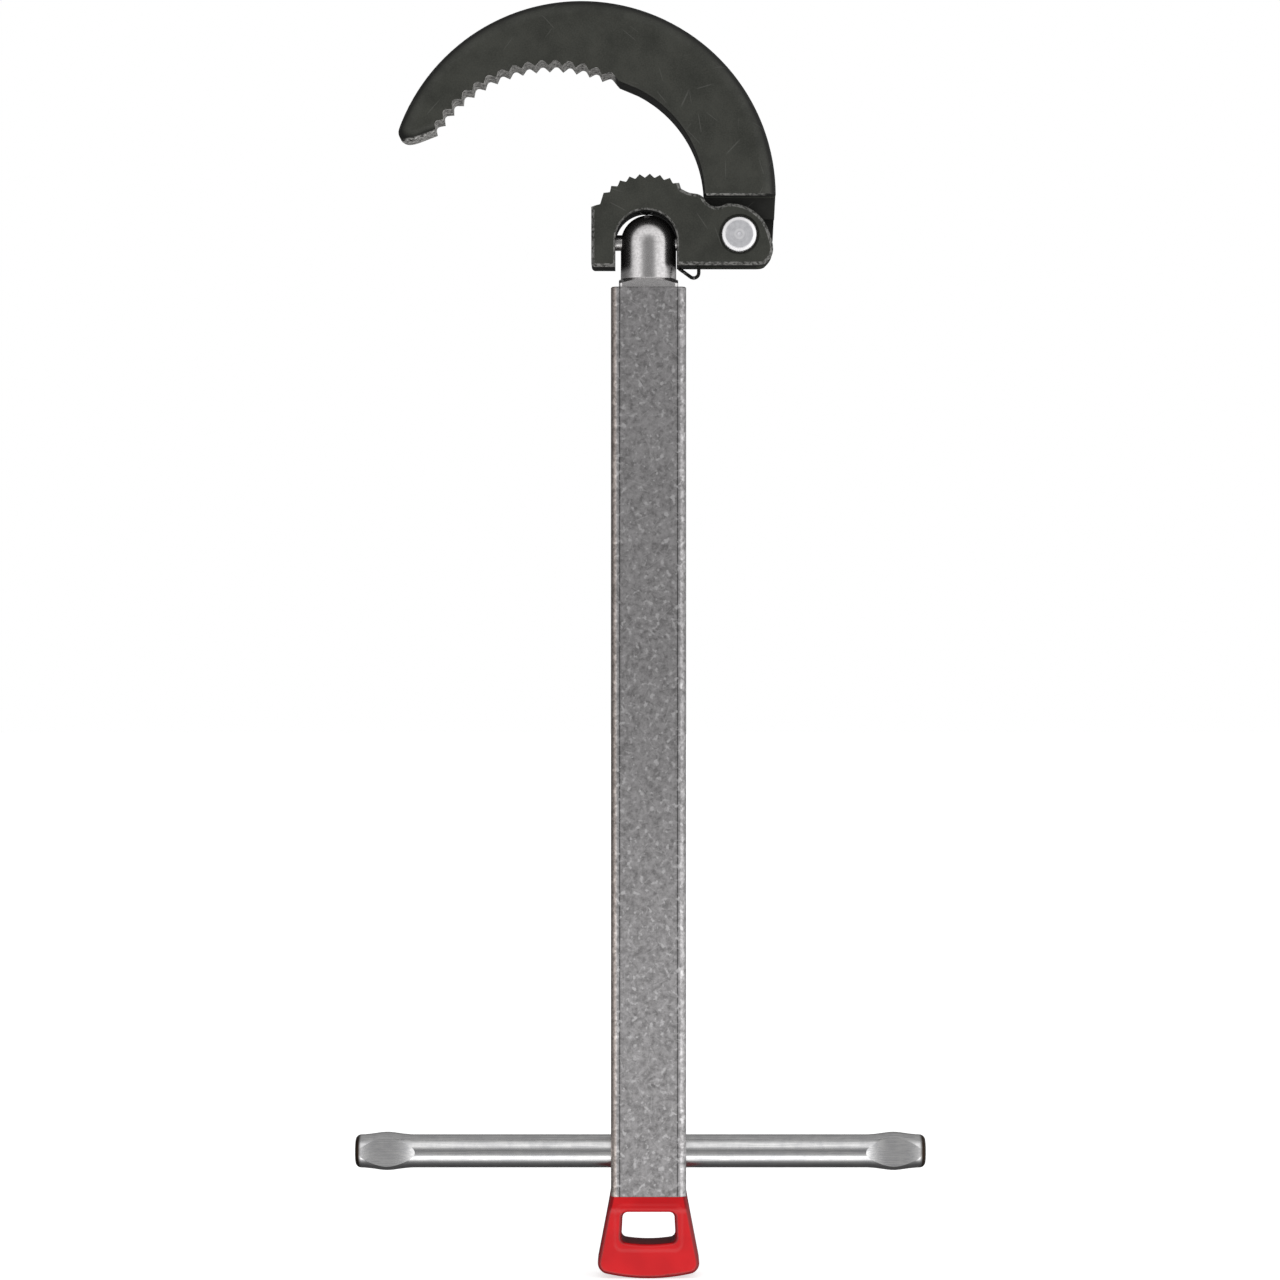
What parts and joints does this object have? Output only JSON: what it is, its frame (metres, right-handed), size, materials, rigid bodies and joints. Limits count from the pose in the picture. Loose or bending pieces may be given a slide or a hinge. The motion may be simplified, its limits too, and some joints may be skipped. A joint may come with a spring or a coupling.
{
  "type": "basin wrench",
  "caption": "Telescoping basin wrench: square tube with a sliding T-bar, extending bar, tilting head and sprung hook jaw for nuts in tight places.",
  "frame": {"origin": "where the shaft's axis crosses the T-bar's axis, at the hand grip", "axes": "+Z along the shaft from the T-bar to the jaws, +X along the T-bar, and the tool's front faces -Y"},
  "size_m": [0.1449, 0.0192, 0.3237],
  "materials": {
    "tube_steel": "dull nickel plate with fine random scratches",
    "bar_steel": "satin nickel plate, the turned post brighter",
    "t_bar_plate": "bright nickel plate, browned at the cut ends",
    "jaw_steel": "black phosphate over forged steel",
    "rivet_plate": "satin nickel plate",
    "pin_steel": "ground",
    "spring_wire": "black oxide",
    "small_springs": "drawn wire",
    "button_steel": "zinc plate",
    "cap_plastic": "glossy red moulding"
  },
  "bodies": {
    "handle": {"handle_tube": "tube_steel", "end_cap": "cap_plastic"},
    "t_bar": {"t_bar": "t_bar_plate"},
    "extension": {"extension_bar": "bar_steel", "lock_spring": "small_springs"},
    "lock": {"lock_button": "button_steel"},
    "head": {"jaw_block": "jaw_steel", "tilt_pin": "pin_steel", "jaw_rivet": "rivet_plate", "jaw_spring": "spring_wire", "detent_spring": "small_springs"},
    "detent": {"detent_ball": "pin_steel"},
    "hook": {"hook_jaw": "jaw_steel"}
  },
  "joints": [
    {"name": "t_bar_slide", "type": "slide", "parent": "handle", "child": "t_bar", "axis": [1, 0, 0], "range_m": [-0.047, 0.051]},
    {"name": "extension_slide", "type": "slide", "parent": "handle", "child": "extension", "axis": [0, 0, 1], "range_m": [0, 0.1524]},
    {"name": "lock_press", "type": "slide", "parent": "extension", "child": "lock", "axis": [0, 1, 0], "range_m": [0, 0.0029], "stiffness_N_per_m": 600, "springref_m": 0.0055, "deforming": ["lock_spring"]},
    {"name": "head_tilt", "type": "hinge", "parent": "extension", "child": "head", "pos_m": [0, 0, 0.231], "axis": [1, 0, 0], "range_deg": [-90, 90]},
    {"name": "detent_press", "type": "slide", "parent": "head", "child": "detent", "axis": [0, 0, 1], "range_m": [0, 0.0006], "stiffness_N_per_m": 1500, "springref_m": -0.0005, "deforming": ["detent_spring"]},
    {"name": "hook_pivot", "type": "hinge", "parent": "head", "child": "hook", "pos_m": [0.02295, 0, 0.2326], "axis": [0, 1, 0], "range_deg": [0, 70], "stiffness_Nm_per_rad": 0.106, "springref_deg": -64.74, "deforming": ["jaw_spring"]}
  ]
}
